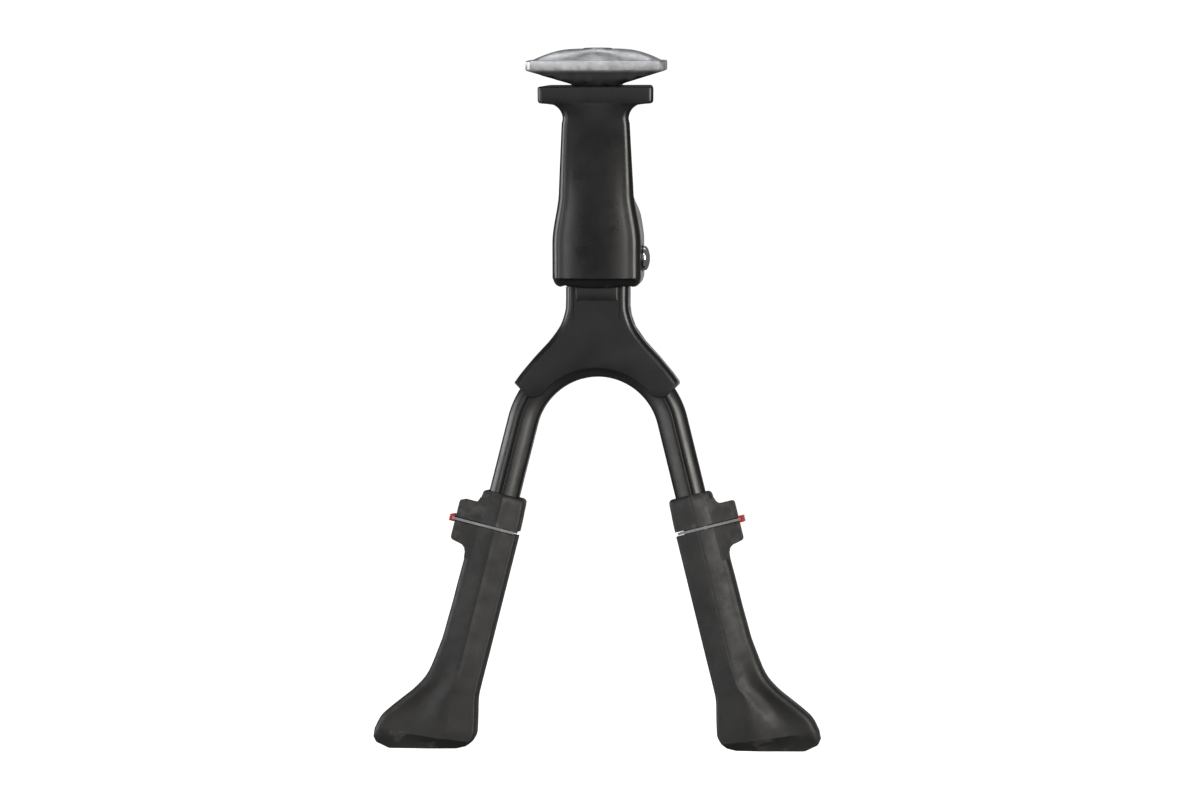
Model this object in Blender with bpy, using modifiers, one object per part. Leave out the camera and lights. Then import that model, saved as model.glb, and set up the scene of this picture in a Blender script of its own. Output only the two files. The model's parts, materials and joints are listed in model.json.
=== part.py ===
"""Double-leg centre stand for a bicycle, clamped behind the bottom bracket.

Origin: centre of the housing's top seat, on the clamp bolt's axis.
+Z up, +X to the right seen from the closed front, which faces -Y. The legs fold towards +Y.
All the dimensions below are in millimetres.
"""
import math

import bmesh
import bpy
from mathutils import Matrix, Vector

MM = 0.001
GAP = 0.3
SIDES = {"left": -1, "right": 1}

# Housing
BODY_FRONT = -16.5
BODY_BACK = 14.5
FLANGE_HALF = 27.4
FLANGE_BACK = 18.0
FLANGE_THICK = 8.0
WAIST_HALF = 15.6
NECK_HALF = 17.6
NECK_Z = -48.0
LOWER_HALF = 20.9
LOWER_Z = -74.0
HOUSING_BOTTOM = -94.5
WALL = 4.0
BLOCK_DEPTH = 16.0

# Pivot
PIVOT_Z = -81.5
LEAN = math.radians(5.0)
SHAFT_R = 4.0
SHAFT_INNER_X = 8.5
EAR_HALF = 14.8
EAR_THICK = 2.6
NECK_FLOOR = 17.5
BUSH_R = 6.2
YOKE_SHEET = 2.5
SEAM_Y = -0.1
NECK_TOP = -13.7
PAD_FRONT = -10.9
RELIEF_HALF = 1.4

# Clamp
PLATE_HALF = 32.8
PLATE_DEPTH_HALF = 19.0
PLATE_LOW = 7.4
RIM_TOP = 12.2
DOME_TOP = 17.6
KEY_HALF = 11.6
RECESS_R = 9.0
RECESS_FLOOR = 11.6
BOLT_R = 5.0
BOLT_HOLE_R = 5.4
HEAD_R = 8.1
BOLT_TIP = -35.0

# Leg arch, in the plane of the legs; v is the distance below the pivot
ARCH_V = 85.6
ARCH_R = 36.5
TUBE_HALF_WIDE = 7.1
TUBE_HALF_DEEP = 6.5
TUBE_WALL = 1.6
SPLAY = math.radians(14.0)
LEG_LINE = ARCH_R - ARCH_V * math.sin(SPLAY)
LEG_END = 212.0

# Feet, in distances along the leg from the pivot's level
SLEEVE_TOP = 119.3
SLEEVE_HALF = 11.0
FOOT_HALF_DEEP = 10.0
LUG_OUT = 19.2
LUG_LOW = 145.7
LUG_HIGH = 126.3
SLIT_AT = 135.9
SLIT_WIDE = 2.0
CLIP_THICK = 1.2
TAB_INNER = 19.6
TAB_OUTER = 22.2
TAB_HALF = 1.6
POCKET_END = 213.5
NOTCH_PITCH = 10.0
NOTCH_COUNT = 5
SOLE_V = 232.3

# Spring
ANCHOR_Z = -42.0
PIN_R = 2.3
HOOK_Y = -7.0
HOOK_V = 11.0
COIL_R = 4.2
WIRE_R = 0.8
COIL_TURNS = 9
COIL_POINTS = 14


# ---------------------------------------------------------------- helpers

def clear_scene():
    for obj in list(bpy.data.objects):
        bpy.data.objects.remove(obj, do_unlink=True)


def material(name, color, metallic, roughness):
    mat = bpy.data.materials.new(name)
    mat.use_nodes = True
    shader = mat.node_tree.nodes["Principled BSDF"]
    shader.inputs["Base Color"].default_value = (*color, 1.0)
    shader.inputs["Metallic"].default_value = metallic
    shader.inputs["Roughness"].default_value = roughness
    return mat


def add_object(name, bm, mat=None, parent=None):
    """Turn a mesh drawn in millimetres into an object in metres."""
    bmesh.ops.recalc_face_normals(bm, faces=bm.faces)
    bmesh.ops.scale(bm, vec=Vector((MM, MM, MM)), verts=bm.verts)
    mesh = bpy.data.meshes.new(name)
    bm.to_mesh(mesh)
    bm.free()
    obj = bpy.data.objects.new(name, mesh)
    bpy.context.collection.objects.link(obj)
    obj.parent = parent
    if mat:
        mesh.materials.append(mat)
    else:
        obj.hide_render = True
        obj.display_type = "WIRE"
    return obj


def add_empty(name, location, rotation=(0, 0, 0), parent=None):
    empty = bpy.data.objects.new(name, None)
    bpy.context.collection.objects.link(empty)
    empty.location = [MM * value for value in location]
    empty.rotation_euler = rotation
    empty.parent = parent
    return empty


def place(axis, first, second, third):
    """A point from two coordinates across an axis and one along it."""
    if axis == "X":
        return (third, first, second)
    if axis == "Y":
        return (first, third, second)
    return (first, second, third)


def prism(bm, outline, low, high, axis="Y"):
    """Extrude a flat outline along an axis, from low to high."""
    verts = [bm.verts.new(place(axis, a, b, low)) for a, b in outline]
    face = bm.faces.new(verts)
    grown = bmesh.ops.extrude_face_region(bm, geom=[face])
    tops = [item for item in grown["geom"] if isinstance(item, bmesh.types.BMVert)]
    shift = Vector(place(axis, 0, 0, high - low))
    bmesh.ops.translate(bm, vec=shift, verts=tops)


def box(bm, x, y, z):
    prism(bm, [(x[0], z[0]), (x[1], z[0]), (x[1], z[1]), (x[0], z[1])], y[0], y[1])


def turned(bm, profile, axis="X", centre=(0, 0, 0), steps=32, closed=False):
    """Spin a profile of (along, radius) points around an axis through centre."""
    start = Vector(centre)
    verts = [bm.verts.new(start + Vector(place(axis, 0, r, a))) for a, r in profile]
    edges = [bm.edges.new(pair) for pair in zip(verts, verts[1:])]
    if closed:
        edges.append(bm.edges.new((verts[-1], verts[0])))
    bmesh.ops.spin(bm, geom=verts + edges, cent=start, axis=Vector(place(axis, 0, 0, 1)),
                   angle=2 * math.pi, steps=steps, use_duplicate=False)
    bmesh.ops.remove_doubles(bm, verts=bm.verts, dist=0.001)


def ring(bm, inner, outer, low, high, axis="X", centre=(0, 0, 0), steps=32):
    turned(bm, [(low, inner), (low, outer), (high, outer), (high, inner)],
           axis, centre, steps, closed=True)


def rod(bm, radius, low, high, axis="X", centre=(0, 0, 0), steps=24):
    turned(bm, [(low, 0), (low, radius), (high, radius), (high, 0)], axis, centre, steps)


def arc(centre, radius, start, end, count):
    """Points on an arc; angles in degrees, anticlockwise from the first axis."""
    points = []
    for index in range(count + 1):
        angle = math.radians(start + (end - start) * index / count)
        points.append((centre[0] + radius * math.cos(angle),
                       centre[1] + radius * math.sin(angle)))
    return points


def mirrored(half):
    """A closed outline from its right half, listed from top to bottom."""
    return half + [(-x, z) for x, z in reversed(half) if abs(x) > 1e-6]


def boolean(obj, cutter, operation="DIFFERENCE"):
    mod = obj.modifiers.new(operation.title(), "BOOLEAN")
    mod.object = cutter
    mod.operation = operation
    mod.solver = "EXACT"


def bevel(obj, width, segments=2, angle=40):
    mod = obj.modifiers.new("Bevel", "BEVEL")
    mod.width = width * MM
    mod.segments = segments
    mod.limit_method = "ANGLE"
    mod.angle_limit = math.radians(angle)


def on_leg(side, across, along):
    """Leg-plane point from its place on the leg: across is outward from the centre line."""
    out = LEG_LINE + across
    x = along * math.sin(SPLAY) + out * math.cos(SPLAY)
    v = along * math.cos(SPLAY) - out * math.sin(SPLAY)
    return (side * x, -v)


def leg_box(bm, side, across, along, deep):
    """A box squared to the leg."""
    corners = [(across[0], along[0]), (across[1], along[0]),
               (across[1], along[1]), (across[0], along[1])]
    prism(bm, [on_leg(side, s, t) for s, t in corners], deep[0], deep[1])


# ---------------------------------------------------------------- housing

def housing_half(z):
    """Half the body's width between the fillets and the bottom corners."""
    if z > NECK_Z:
        fall = (z - NECK_Z) / (-FLANGE_THICK - NECK_Z)
        return NECK_HALF + (WAIST_HALF - NECK_HALF) * fall
    step = min(1.0, (NECK_Z - z) / (NECK_Z - LOWER_Z))
    return NECK_HALF + (LOWER_HALF - NECK_HALF) * step * step * (3 - 2 * step)


def housing_outline():
    fillet = 7.0
    centre = (WAIST_HALF + fillet, -FLANGE_THICK - fillet)
    half = [(FLANGE_HALF - 0.5, 0), (FLANGE_HALF, -FLANGE_THICK + 1.2),
            (FLANGE_HALF - 1.2, -FLANGE_THICK)]
    half += arc(centre, fillet, 90, 180, 6)
    levels = (-34, NECK_Z, -54, -60, -67, LOWER_Z, HOUSING_BOTTOM + 5)
    half += [(housing_half(z), z) for z in levels]
    half += arc((LOWER_HALF - 4.5, HOUSING_BOTTOM + 4.5), 4.5, -20, -90, 4)
    return mirrored(half)


def channel_outline():
    """The rear channel, one wall inside the body."""
    levels = (-BLOCK_DEPTH, -34, NECK_Z, -54, -60, -67, LOWER_Z, HOUSING_BOTTOM - 5)
    return mirrored([(housing_half(z) - WALL, z) for z in levels])


def make_housing(paint):
    bm = bmesh.new()
    prism(bm, housing_outline(), BODY_FRONT, BODY_BACK)
    housing = add_object("housing", bm, paint)
    bevel(housing, 2.2, 3)

    bm = bmesh.new()
    box(bm, (-FLANGE_HALF + 0.1, FLANGE_HALF - 0.1), (-2, FLANGE_BACK), (-FLANGE_THICK + 0.1, -0.05))
    flange = add_object("flange_shape", bm)
    bevel(flange, 1.0, 2)
    boolean(housing, flange, "UNION")

    bm = bmesh.new()
    prism(bm, channel_outline(), BODY_FRONT + WALL, FLANGE_BACK + 5)
    boolean(housing, add_object("channel_cut", bm))

    bm = bmesh.new()
    rod(bm, BOLT_R + GAP, -BLOCK_DEPTH - 4, 4, "Z", steps=32)
    boolean(housing, add_object("bolt_hole_cut", bm))

    bm = bmesh.new()
    rod(bm, SHAFT_R + GAP, -30, 30, "X", (0, 0, PIVOT_Z), 32)
    boolean(housing, add_object("pivot_hole_cut", bm))

    bm = bmesh.new()
    rod(bm, PIN_R + GAP, -30, NECK_HALF - 1.6, "X", (0, 0, ANCHOR_Z))
    boolean(housing, add_object("anchor_hole_cut", bm))


# ---------------------------------------------------------------- pivot

def make_pivot(chrome, steel, nylon):
    bm = bmesh.new()
    face = LOWER_HALF + GAP
    dome = [(face + 1.0 + 2.3 * math.sin(math.radians(a)), 5.8 * math.cos(math.radians(a)))
            for a in range(0, 90, 15)]
    profile = [(SHAFT_INNER_X, 0), (SHAFT_INNER_X, SHAFT_R - 0.5), (SHAFT_INNER_X + 0.5, SHAFT_R),
               (face, SHAFT_R), (face, 5.8)]
    turned(bm, profile + dome + [(face + 3.3, 0)], "X", (0, 0, PIVOT_Z))
    add_object("pivot_screw", bm, chrome)

    bm = bmesh.new()
    profile = [(-LOWER_HALF, 0), (-LOWER_HALF, SHAFT_R), (-SHAFT_INNER_X - 0.5, SHAFT_R),
               (-SHAFT_INNER_X, SHAFT_R - 0.5), (-SHAFT_INNER_X, 0)]
    turned(bm, profile, "X", (0, 0, PIVOT_Z))
    add_object("pivot_stub", bm, steel)

    bm = bmesh.new()
    rod(bm, PIN_R, -NECK_HALF, NECK_HALF - 1.9, "X", (0, 0, ANCHOR_Z))
    add_object("spring_anchor_pin", bm, steel)

    wall = LOWER_HALF - WALL
    for name, side in SIDES.items():
        bm = bmesh.new()
        ends = sorted((side * (EAR_HALF + GAP), side * (wall - GAP)))
        ring(bm, SHAFT_R + GAP, 8.5, ends[0], ends[1], "X", (0, 0, PIVOT_Z))
        add_object(f"pivot_washer_{name}", bm, nylon)


# ---------------------------------------------------------------- clamp

def make_clamp(cast, zinc, steel):
    half = [(0, DOME_TOP), (9, DOME_TOP - 0.2), (17, DOME_TOP - 1.6), (25, RIM_TOP + 1.2),
            (PLATE_HALF - 1, RIM_TOP), (PLATE_HALF, RIM_TOP - 0.8),
            (PLATE_HALF, PLATE_LOW + 0.8), (PLATE_HALF - 1, PLATE_LOW)]
    half += [(KEY_HALF + 12.5, PLATE_LOW - 1.0), (KEY_HALF + 0.6, 1.0), (KEY_HALF, GAP)]
    bm = bmesh.new()
    prism(bm, mirrored(half), -PLATE_DEPTH_HALF, PLATE_DEPTH_HALF)
    plate = add_object("clamp_plate", bm, cast)

    side = [(-PLATE_DEPTH_HALF, GAP + 2.2), (-PLATE_DEPTH_HALF, RIM_TOP), (-8.5, DOME_TOP - 1.2),
            (0, DOME_TOP + 0.2), (8.5, DOME_TOP - 1.2), (PLATE_DEPTH_HALF, RIM_TOP),
            (PLATE_DEPTH_HALF, GAP + 2.2), (14, GAP - 0.1), (-14, GAP - 0.1)]
    bm = bmesh.new()
    prism(bm, side, -40, 40, "X")
    boolean(plate, add_object("plate_side_shape", bm), "INTERSECT")

    back = PLATE_DEPTH_HALF + 1
    plan = [(-PLATE_HALF - 1, -back), (PLATE_HALF + 1, -back), (PLATE_HALF + 1, 3), (18, back),
            (-18, back), (-PLATE_HALF - 1, 3)]
    bm = bmesh.new()
    prism(bm, plan, -5, 30, "Z")
    boolean(plate, add_object("plate_plan_shape", bm), "INTERSECT")

    bm = bmesh.new()
    rod(bm, BOLT_HOLE_R, -5, 30, "Z", steps=32)
    boolean(plate, add_object("plate_hole_cut", bm))
    bm = bmesh.new()
    rod(bm, RECESS_R, RECESS_FLOOR, 30, "Z", steps=32)
    boolean(plate, add_object("plate_recess_cut", bm))

    washer_top = RECESS_FLOOR + GAP + 1.4
    bm = bmesh.new()
    ring(bm, BOLT_R + GAP, 8.4, RECESS_FLOOR + GAP, washer_top, "Z")
    add_object("lock_washer", bm, steel)

    head = washer_top + GAP
    bm = bmesh.new()
    profile = [(BOLT_TIP, 0), (BOLT_TIP, BOLT_R - 0.8), (BOLT_TIP + 0.8, BOLT_R), (head, BOLT_R),
               (head, HEAD_R), (head + 2.6, HEAD_R), (head + 4.0, HEAD_R - 1.8), (head + 4.3, 3.4),
               (head + 1.4, 3.2), (head + 1.4, 0)]
    turned(bm, profile, "Z", steps=32)
    add_object("clamp_bolt", bm, zinc)


# ---------------------------------------------------------------- yoke

def yoke_half(neck_half):
    """Right half of the yoke's outline from the neck to the end of its arm."""
    centre = (0, -ARCH_V)
    half = [(neck_half, -22), (neck_half + 0.6, -26.5), (17.4, -32), (22.2, -38.9), (29.3, -46.7),
            (35.6, -54.2), (38.9, -58.8)]
    half += [(31.6, -66.1), (30.0, -66.7), (28.4, -66.1)]
    return half + arc(centre, 33.2, 44.5, 90, 6)


def yoke_cavity(bm, low, high):
    """The hollow of the yoke, from the open top of the neck down to the arch."""
    inner = EAR_HALF - EAR_THICK
    half = [(inner, -10), (inner, -29), (14.9, -34), (19.6, -40.6), (25.5, -47.5), (0, -60)]
    prism(bm, mirrored(half), low, high)


def arch_band(bm, low, high):
    """Room for the bent tube."""
    reach = TUBE_HALF_WIDE + GAP
    centre = (0, -ARCH_V)
    band = arc(centre, ARCH_R + reach, -10, 190, 24) + arc(centre, ARCH_R - reach, 190, -10, 24)
    prism(bm, band, low, high)


def make_yoke_plate(paint, parent):
    """Front pressing: web, flanges and stop pad."""
    seat = -TUBE_HALF_DEEP - GAP
    front = seat - YOKE_SHEET
    bm = bmesh.new()
    prism(bm, mirrored([(EAR_HALF, NECK_TOP)] + yoke_half(EAR_HALF)), front, SEAM_Y - GAP)
    plate = add_object("yoke_plate", bm, paint, parent)
    bevel(plate, 0.9, 2)
    bm = bmesh.new()
    yoke_cavity(bm, seat, 5)
    boolean(plate, add_object("plate_cavity_cut", bm, parent=parent))
    bm = bmesh.new()
    arch_band(bm, seat, 5)
    boolean(plate, add_object("plate_arch_cut", bm, parent=parent))
    bm = bmesh.new()
    box(bm, (-9.8, 9.8), (PAD_FRONT, front + 0.6), (-20.1, -13.9))
    pad = add_object("stop_pad_shape", bm, parent=parent)
    bevel(pad, 0.4, 2)
    boolean(plate, pad, "UNION")
    bm = bmesh.new()
    box(bm, (-RELIEF_HALF, RELIEF_HALF), (PAD_FRONT + 0.55, 5), (-15.6, -10))
    boolean(plate, add_object("spring_relief_cut", bm, parent=parent))


def make_yoke_channel(paint, parent):
    """Rear pressing: back wall, flanges and the two ears."""
    back = TUBE_HALF_DEEP + GAP + YOKE_SHEET
    bm = bmesh.new()
    prism(bm, mirrored([(EAR_HALF, NECK_TOP)] + yoke_half(EAR_HALF)), SEAM_Y, back)
    channel = add_object("yoke_channel", bm, paint, parent)
    bevel(channel, 0.8, 1)
    ear = [(back - 0.6, -30)] + arc((0, 0), 11.0, -30, 200, 12)
    ear += [(-11.2, -8), (-10.6, -12.8), (SEAM_Y, -13.3), (SEAM_Y, -30)]
    bm = bmesh.new()
    prism(bm, ear, -EAR_HALF, EAR_HALF, "X")
    boolean(channel, add_object("ear_shape", bm, parent=parent), "UNION")
    inner = EAR_HALF - EAR_THICK
    bm = bmesh.new()
    box(bm, (-inner, inner), (-30, 30), (-NECK_FLOOR, 20))
    boolean(channel, add_object("neck_cut", bm, parent=parent))
    bm = bmesh.new()
    yoke_cavity(bm, -30, TUBE_HALF_DEEP + GAP)
    boolean(channel, add_object("channel_cavity_cut", bm, parent=parent))
    bm = bmesh.new()
    arch_band(bm, -30, TUBE_HALF_DEEP + GAP)
    boolean(channel, add_object("channel_arch_cut", bm, parent=parent))
    bm = bmesh.new()
    rod(bm, BUSH_R + GAP, -30, 30, "X", steps=32)
    boolean(channel, add_object("bush_hole_cut", bm, parent=parent))
    bm = bmesh.new()
    rod(bm, PIN_R + GAP, -30, 30, "X", (0, HOOK_Y, -HOOK_V))
    boolean(channel, add_object("hook_hole_cut", bm, parent=parent))


def make_yoke_pins(bronze, steel, parent):
    for name, side in SIDES.items():
        bm = bmesh.new()
        ends = sorted((side * (SHAFT_INNER_X + 0.6), side * EAR_HALF))
        ring(bm, SHAFT_R + GAP, BUSH_R, ends[0], ends[1])
        add_object(f"pivot_bush_{name}", bm, bronze, parent)
    bm = bmesh.new()
    rod(bm, PIN_R, -EAR_HALF, EAR_HALF, "X", (0, HOOK_Y, -HOOK_V))
    add_object("spring_hook_pin", bm, steel, parent)


# ---------------------------------------------------------------- legs

def tube_section(shrink):
    """Leg section (across, depth): two sloping front lobes that meet in a groove."""
    wide = TUBE_HALF_WIDE - shrink
    deep = TUBE_HALF_DEEP - shrink
    groove = 0.0 if shrink else 0.6
    return [(-wide, -deep + 2.2), (-wide + 1.2, -deep + 0.8), (0.7, -deep), (1.3, -deep + groove),
            (1.9, -deep), (wide - 1.2, -deep + 0.6), (wide, -deep + 1.8), (wide, deep - 1.4),
            (wide - 1.4, deep), (-wide + 1.4, deep), (-wide, deep - 1.4)]


def arch_path():
    """Stations from the left leg's end to the right one's: a point and its outward direction."""
    turns = 18
    ends = []
    for side in (-1, 1):
        outward = (side * math.cos(SPLAY), math.sin(SPLAY))
        ends.append((on_leg(side, 0, LEG_END), outward))
    stations = [ends[0]]
    for index in range(turns + 1):
        angle = math.pi - SPLAY - (math.pi - 2 * SPLAY) * index / turns
        outward = (math.cos(angle), math.sin(angle))
        stations.append(((ARCH_R * outward[0], ARCH_R * outward[1] - ARCH_V), outward))
    return stations + [ends[1]]


def make_leg_frame(paint, parent):
    bm = bmesh.new()
    sections = (tube_section(0.0), tube_section(TUBE_WALL))
    count = len(sections[0])
    rings = []
    for point, outward in arch_path():
        for section in sections:
            rings.append([bm.verts.new((point[0] + s * outward[0], y, point[1] + s * outward[1]))
                          for s, y in section])
    outer, inner = rings[0::2], rings[1::2]
    for skin in (outer, inner):
        for low, high in zip(skin, skin[1:]):
            for k in range(count):
                n = (k + 1) % count
                bm.faces.new((low[k], low[n], high[n], high[k]))
    for tip in (0, -1):
        for k in range(count):
            n = (k + 1) % count
            bm.faces.new((outer[tip][k], outer[tip][n], inner[tip][n], inner[tip][k]))
    frame = add_object("leg_frame", bm, paint, parent)

    bm = bmesh.new()
    for side in SIDES.values():
        for index in range(NOTCH_COUNT):
            middle = SLIT_AT + NOTCH_PITCH * index
            along = (middle - 0.9, middle + 0.9)
            for deep in ((-9, -5.0), (5.3, 9)):
                leg_box(bm, side, (TUBE_HALF_WIDE - 2.6, TUBE_HALF_WIDE + 2), along, deep)
    boolean(frame, add_object("notch_cuts", bm, parent=parent))


# ---------------------------------------------------------------- feet

def foot_outline(side):
    """Sleeve, lug and flared shoe in the plane of the legs."""
    inner = [(-10.0, SLEEVE_TOP), (-11.0, SLEEVE_TOP + 3), (-SLEEVE_HALF, 205)]
    lug = [(LUG_OUT - 7.6, LUG_LOW + 1.6), (LUG_OUT, LUG_LOW), (LUG_OUT, LUG_HIGH),
           (LUG_OUT - 7.6, LUG_HIGH), (9.8, LUG_HIGH - 3), (9.6, SLEEVE_TOP)]
    points = [on_leg(side, s, t) for s, t in inner]
    shoe = [(56.8, 209), (57.2, 224), (58.6, 228.6), (62, 231.2), (66, SOLE_V), (96, SOLE_V),
            (101.5, 231.6), (104.8, 229.8), (106, 227), (104.8, 222), (102, 217), (97.3, 212.6),
            (91.5, 208), (85.4, 203), (79.6, 196)]
    points += [(side * u, -v) for u, v in shoe]
    points += [on_leg(side, s, t) for s, t in [(12.0, 201.8), (11.2, 189), (10.7, 154)] + lug]
    return points


def make_foot(name, side, plastic, zinc, red, parent):
    bm = bmesh.new()
    prism(bm, foot_outline(side), -FOOT_HALF_DEEP, FOOT_HALF_DEEP)
    foot = add_object(f"{name}_foot", bm, plastic, parent)
    bevel(foot, 2.0, 2)

    ground = PIVOT_Z - SOLE_V * math.cos(LEAN)
    bm = bmesh.new()
    box(bm, (-130, 130), (-60, 20), (ground - 30, ground))
    boolean(foot, add_object(f"{name}_ground_cut", bm))

    reach = TUBE_HALF_WIDE + GAP
    depth = TUBE_HALF_DEEP + GAP
    bm = bmesh.new()
    leg_box(bm, side, (-reach, reach), (SLEEVE_TOP - 20, POCKET_END), (-depth, depth))
    boolean(foot, add_object(f"{name}_pocket_cut", bm, parent=parent))

    along = (SLIT_AT - SLIT_WIDE / 2, SLIT_AT + SLIT_WIDE / 2)
    for place_name, across, deep in (("front", (-15, 25), (-15, -6.4)), ("back", (-15, 25), (6.4, 15)),
                                     ("inner", (-15, -6), (-15, 15))):
        bm = bmesh.new()
        leg_box(bm, side, across, along, deep)
        boolean(foot, add_object(f"{name}_slit_{place_name}_cut", bm, parent=parent))

    along = (SLIT_AT - CLIP_THICK / 2, SLIT_AT + CLIP_THICK / 2)
    bm = bmesh.new()
    arms = [(20.7, -9.4), (-9.7, -9.4), (-9.7, -7.0), (LUG_OUT + GAP, -7.0),
            (LUG_OUT + GAP, 7.0), (-9.7, 7.0), (-9.7, 9.4), (20.7, 9.4)]
    low = [bm.verts.new((on_leg(side, s, along[0])[0], y, on_leg(side, s, along[0])[1]))
           for s, y in arms]
    face = bm.faces.new(low)
    grown = bmesh.ops.extrude_face_region(bm, geom=[face])
    tops = [item for item in grown["geom"] if isinstance(item, bmesh.types.BMVert)]
    step = Vector((side * math.sin(SPLAY), 0, -math.cos(SPLAY))) * CLIP_THICK
    bmesh.ops.translate(bm, vec=step, verts=tops)
    add_object(f"{name}_clip", bm, zinc, parent)

    bm = bmesh.new()
    leg_box(bm, side, (TAB_INNER, TAB_OUTER), (SLIT_AT - TAB_HALF, SLIT_AT + TAB_HALF), (-8.4, 8.4))
    tab = add_object(f"{name}_clip_tab", bm, red, parent)
    bevel(tab, 0.4, 2)
    bm = bmesh.new()
    seat = CLIP_THICK / 2 + GAP
    leg_box(bm, side, (15, 20.7 + GAP), (SLIT_AT - seat, SLIT_AT + seat), (-12, 12))
    boolean(tab, add_object(f"{name}_tab_seat_cut", bm, parent=parent))


# ---------------------------------------------------------------- spring

def make_spring(steel, parent):
    """Extension spring with a loop round each pin, drawn along its own -Z from the anchor."""
    hook = Matrix.Rotation(-LEAN, 4, "X") @ Vector((0, HOOK_Y, -HOOK_V))
    reach = Vector((0, hook.y, PIVOT_Z + hook.z - ANCHOR_Z))
    length = reach.length
    seat = PIN_R + GAP + WIRE_R
    points = [Vector((0, seat * math.sin(a), seat * math.cos(a)))
              for a in [math.radians(d) for d in range(-120, 151, 30)]]
    top = -seat - 3.5
    bottom = -length + seat + 3.5
    steps = COIL_TURNS * COIL_POINTS
    for index in range(steps + 1):
        angle = 2 * math.pi * index / COIL_POINTS + math.pi / 2
        z = top + (bottom - top) * index / steps
        points.append(Vector((COIL_R * math.cos(angle), COIL_R * math.sin(angle), z)))
    for degrees in range(30, 301, 30):
        a = math.radians(degrees)
        points.append(Vector((0, seat * math.sin(a), -length + seat * math.cos(a))))

    curve = bpy.data.curves.new("return_spring", "CURVE")
    curve.dimensions = "3D"
    curve.bevel_depth = WIRE_R * MM
    curve.bevel_resolution = 2
    curve.use_fill_caps = True
    spline = curve.splines.new("POLY")
    spline.points.add(len(points) - 1)
    for item, point in zip(spline.points, points):
        item.co = (point.x * MM, point.y * MM, point.z * MM, 1)
    curve.materials.append(steel)
    spring = bpy.data.objects.new("return_spring", curve)
    bpy.context.collection.objects.link(spring)
    spring.parent = parent
    parent.rotation_euler = (math.atan2(hook.y, -reach.z), 0, 0)


def main():
    clear_scene()
    paint = material("black_paint", (0.018, 0.018, 0.020), 0.0, 0.32)
    cast = material("cast_aluminium", (0.52, 0.53, 0.55), 1.0, 0.42)
    chrome = material("bright_chrome", (0.80, 0.80, 0.82), 1.0, 0.12)
    zinc = material("zinc_steel", (0.66, 0.67, 0.69), 1.0, 0.28)
    steel = material("dark_steel", (0.30, 0.30, 0.31), 1.0, 0.40)
    bronze = material("bronze", (0.55, 0.36, 0.16), 1.0, 0.40)
    nylon = material("white_nylon", (0.75, 0.74, 0.70), 0.0, 0.50)
    plastic = material("black_nylon", (0.022, 0.022, 0.024), 0.0, 0.62)
    red = material("red_plastic", (0.55, 0.02, 0.02), 0.0, 0.40)

    make_housing(paint)
    make_pivot(chrome, steel, nylon)
    make_clamp(cast, zinc, steel)
    legs = add_empty("leg_axis", (0, 0, PIVOT_Z), (-LEAN, 0, 0))
    make_yoke_plate(paint, legs)
    make_yoke_channel(paint, legs)
    make_yoke_pins(bronze, steel, legs)
    make_leg_frame(paint, legs)
    for name, side in SIDES.items():
        make_foot(name, side, plastic, zinc, red, legs)
    make_spring(steel, add_empty("spring_axis", (0, 0, ANCHOR_Z)))


main()
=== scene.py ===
"""Looks of the double-leg centre stand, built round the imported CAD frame.

Shapes are drawn in millimetres in the frame's axes, or in the plane of the legs, and turned into metres
when their object is made. In the legs' plane x is to the right, z is minus the distance below the pivot.
"""
import json
import math

import bmesh
import bpy
from mathutils import Matrix, Vector


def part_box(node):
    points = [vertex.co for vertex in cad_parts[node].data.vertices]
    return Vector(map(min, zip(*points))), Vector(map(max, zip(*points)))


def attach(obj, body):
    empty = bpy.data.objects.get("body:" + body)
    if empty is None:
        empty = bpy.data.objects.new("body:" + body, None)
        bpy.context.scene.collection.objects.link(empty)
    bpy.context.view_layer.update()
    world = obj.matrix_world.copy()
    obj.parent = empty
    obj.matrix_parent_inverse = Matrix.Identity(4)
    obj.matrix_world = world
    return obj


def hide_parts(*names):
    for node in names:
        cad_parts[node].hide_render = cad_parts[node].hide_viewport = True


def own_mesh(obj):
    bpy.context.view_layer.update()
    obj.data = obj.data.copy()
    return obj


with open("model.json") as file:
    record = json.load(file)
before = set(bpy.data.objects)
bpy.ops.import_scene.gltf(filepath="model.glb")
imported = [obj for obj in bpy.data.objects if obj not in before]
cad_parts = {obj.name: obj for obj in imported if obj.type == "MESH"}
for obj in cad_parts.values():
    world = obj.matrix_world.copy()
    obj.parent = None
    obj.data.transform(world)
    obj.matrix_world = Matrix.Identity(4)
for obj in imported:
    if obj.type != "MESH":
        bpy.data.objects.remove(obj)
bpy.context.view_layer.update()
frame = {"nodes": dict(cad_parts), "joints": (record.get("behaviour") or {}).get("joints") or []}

MM = 0.001
SIDES = {"left": -1, "right": 1}
JOINTS = {joint["name"]: joint for joint in frame["joints"]}


def node_mm(name):
    """A CAD node's lowest and highest corners in millimetres."""
    low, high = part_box(name)
    return low / MM, high / MM


HOUSING_LOW, HOUSING_HIGH = node_mm("housing")
PLATE_BOX_LOW, PLATE_BOX_HIGH = node_mm("clamp_plate")
SCREW_LOW, SCREW_HIGH = node_mm("pivot_screw")
BOLT_LOW, BOLT_HIGH = node_mm("clamp_bolt")
WASHER_LOW, WASHER_HIGH = node_mm("lock_washer")

PIVOT_Z = JOINTS["leg_fold"]["pos_m"][2] / MM
ANCHOR_Z = JOINTS["spring_swing"]["pos_m"][2] / MM
SLIDE_AXIS = Vector(JOINTS["right_foot_slide"]["axis"])
SPLAY = math.asin(SLIDE_AXIS.x)
LEAN = math.atan2(-SLIDE_AXIS.y, -SLIDE_AXIS.z)

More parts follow.
